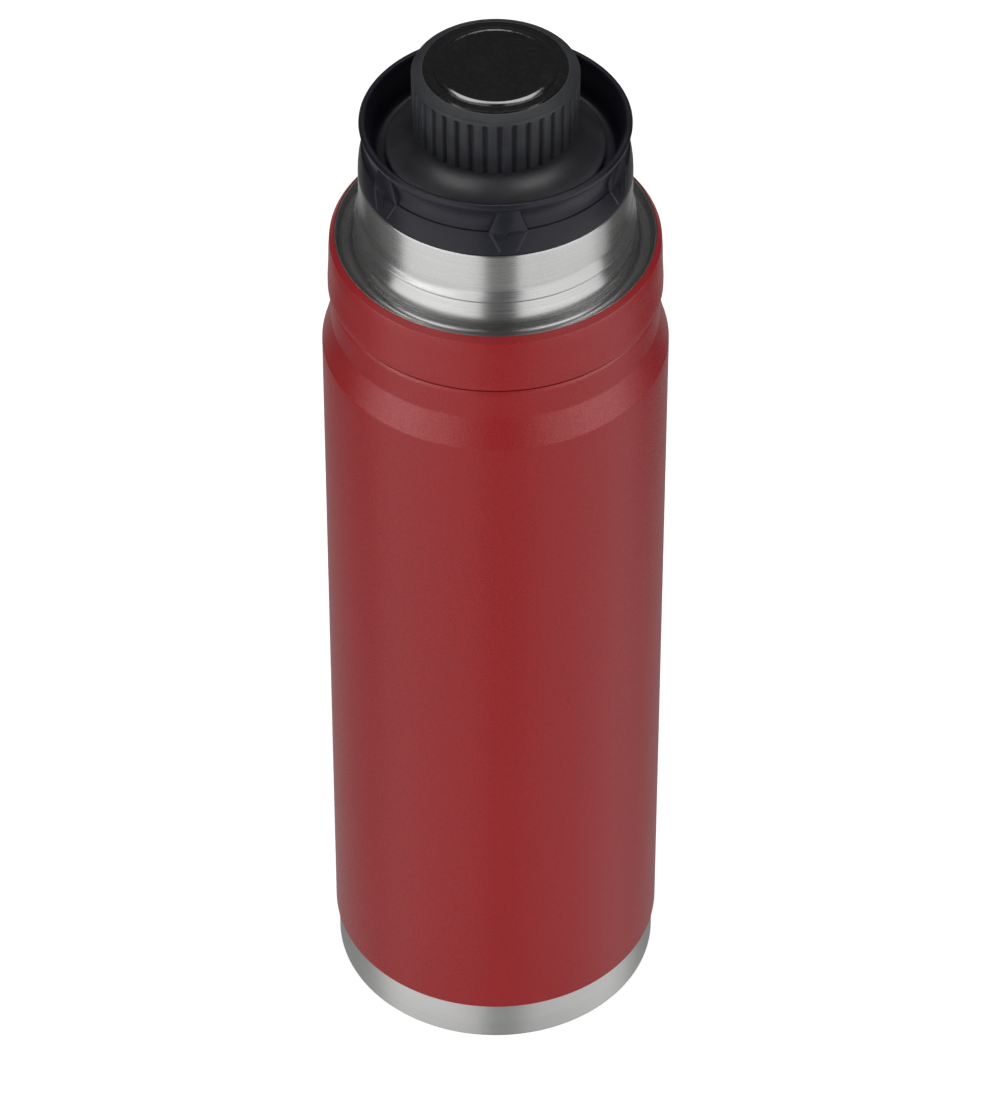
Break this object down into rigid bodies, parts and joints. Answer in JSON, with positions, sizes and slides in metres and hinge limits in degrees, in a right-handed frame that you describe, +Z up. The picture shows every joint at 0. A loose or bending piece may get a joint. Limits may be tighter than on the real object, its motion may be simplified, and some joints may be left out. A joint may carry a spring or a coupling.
{
  "type": "insulated water bottle",
  "caption": "Tall double-walled steel bottle with coated body, bare steel neck and base, screw-in pour collar and fluted screw stopper.",
  "frame": {"origin": "centre of the foot, on the plane the bottle stands on", "axes": "+Z up along the bottle's axis, -Y the front, +X to the right"},
  "size_m": [0.076, 0.076, 0.263],
  "materials": {
    "red_coat": "powder coat, fine grain, satin",
    "bare_steel": "turned satin",
    "inner_steel": "electropolished",
    "copper_foil": "bright foil",
    "getter_metal": "matte",
    "seal_solder": "fused bead",
    "black_plastic": "satin moulded",
    "knob_plastic": "fine spark texture",
    "gloss_black": "polished",
    "silicone": "matte",
    "foam_white": "closed-cell foam"
  },
  "bodies": {
    "flask": {"body_shell": "red_coat", "collar_ring": "red_coat", "neck_shell": "bare_steel", "base_cup": "bare_steel", "vacuum_end_plate": "inner_steel", "vacuum_seal_bead": "seal_solder", "inner_flask_tube": "inner_steel", "inner_flask_bottom": "inner_steel", "radiation_shield": "copper_foil", "getter_clip": "inner_steel", "getter_pellet": "getter_metal"},
    "gasket": {"neck_gasket": "silicone"},
    "spout": {"pour_collar": "black_plastic"},
    "valve": {"valve_seal": "silicone"},
    "stopper": {"stopper_body": "black_plastic", "drip_seal": "silicone", "stopper_foam": "foam_white", "stopper_bottom_cap": "black_plastic", "stopper_knob": "knob_plastic", "knob_top_disc": "gloss_black"}
  },
  "joints": [
    {"name": "collar_lift", "type": "slide", "parent": "flask", "child": "gasket", "axis": [0, 0, 1], "range_m": [0, 0.006]},
    {"name": "collar_turn", "type": "hinge", "parent": "gasket", "child": "spout", "pos_m": [0, 0, 0.238], "axis": [0, 0, 1], "range_deg": [0, 360]},
    {"name": "stopper_lift", "type": "slide", "parent": "spout", "child": "valve", "axis": [0, 0, 1], "range_m": [0, 0.00675]},
    {"name": "stopper_turn", "type": "hinge", "parent": "valve", "child": "stopper", "pos_m": [0, 0, 0.247], "axis": [0, 0, 1], "range_deg": [0, 540]}
  ],
  "couplings": [
    {"joint": "collar_lift", "follows": "collar_turn", "m_per_rad": 0.00095493},
    {"joint": "stopper_lift", "follows": "stopper_turn", "m_per_rad": 0.0007162}
  ]
}
